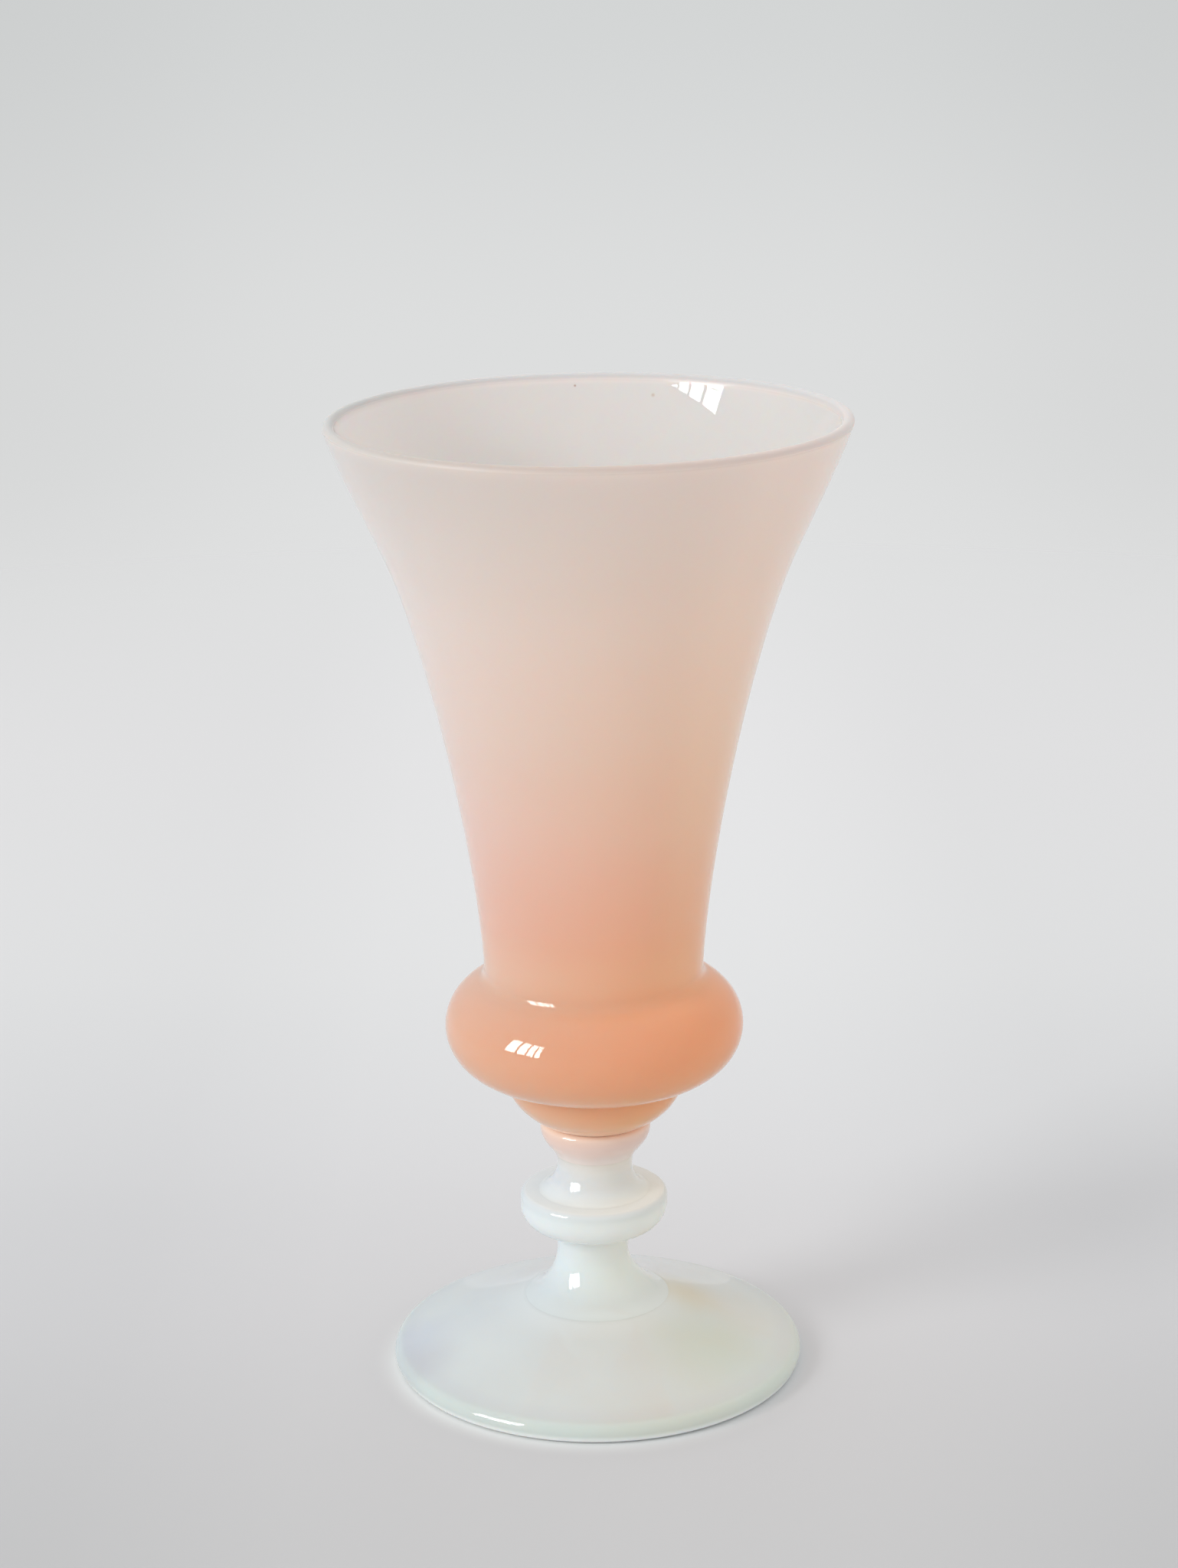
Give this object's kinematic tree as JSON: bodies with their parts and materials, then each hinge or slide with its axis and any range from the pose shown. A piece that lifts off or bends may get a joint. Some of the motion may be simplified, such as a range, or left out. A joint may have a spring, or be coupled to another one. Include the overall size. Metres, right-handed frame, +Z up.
{
  "type": "footed glass vase",
  "caption": "Footed vase in opaline glass: a flared trumpet bowl over a hollow ring and base cup, a collar, a knopped stem and a shallow cone foot.",
  "frame": {"origin": "centre of the flat ring that the foot stands on, at table level", "axes": "+Z up along the axis that every piece is turned about; +X to the right and -Y towards the viewer of the picture"},
  "size_m": [0.1038, 0.1038, 0.2],
  "materials": {
    "pink_bowl_glass": "fire-polished opaline glass, pale rose-beige at the mouth deepening to salmon at the ring",
    "pink_cup_glass": "fire-polished opaline glass, full salmon pink",
    "pale_collar_glass": "fire-polished milky glass, the pink cup shows through it",
    "white_stem_glass": "fire-polished milky white opaline glass",
    "white_foot_glass": "fire-polished milky white opaline glass, blue where thin and amber where light comes through"
  },
  "bodies": {
    "root": {"bowl": "pink_bowl_glass", "base_cup": "pink_cup_glass", "collar": "pale_collar_glass", "neck": "white_stem_glass", "knop": "white_stem_glass", "lower_stem": "white_stem_glass", "foot": "white_foot_glass"}
  },
  "joints": []
}
